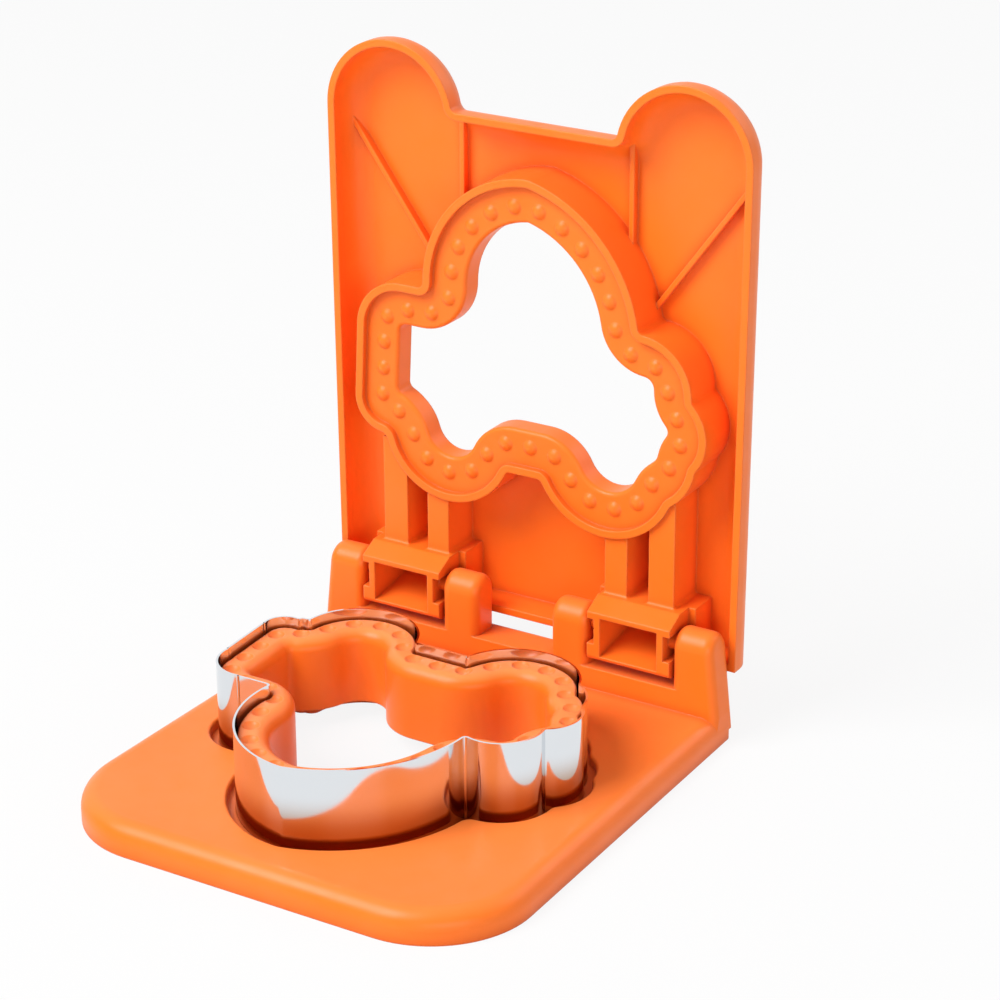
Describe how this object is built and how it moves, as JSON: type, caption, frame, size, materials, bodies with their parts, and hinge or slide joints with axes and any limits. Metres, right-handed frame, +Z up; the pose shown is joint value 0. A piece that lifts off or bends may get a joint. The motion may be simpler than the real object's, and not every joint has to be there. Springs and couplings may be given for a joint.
{
  "type": "sandwich cutter and sealer",
  "caption": "Hinged press with an upright steel blade in the shape of a small car that cuts a filled sandwich and crimps its edge shut.",
  "frame": {"origin": "on the table, in the middle of the width and depth of the part with its lid upright", "axes": "+X across, along the hinge, +Y from the front edge of the base to the lid, +Z up"},
  "size_m": [0.113, 0.1296, 0.1547],
  "materials": {
    "base_plastic": "satin orange moulded plastic",
    "ring_plastic": "satin orange moulded plastic",
    "blade_steel": "polished stainless steel",
    "lid_plastic": "satin orange moulded plastic"
  },
  "bodies": {
    "base": {"base_shell": "base_plastic", "sealing_ring": "ring_plastic", "cutting_blade": "blade_steel"},
    "lid": {"lid_shell": "lid_plastic"}
  },
  "joints": [
    {"name": "lid_hinge", "type": "hinge", "parent": "base", "child": "lid", "pos_m": [0, 0.05025, 0.0233], "axis": [1, 0, 0], "range_deg": [0, 90]}
  ]
}
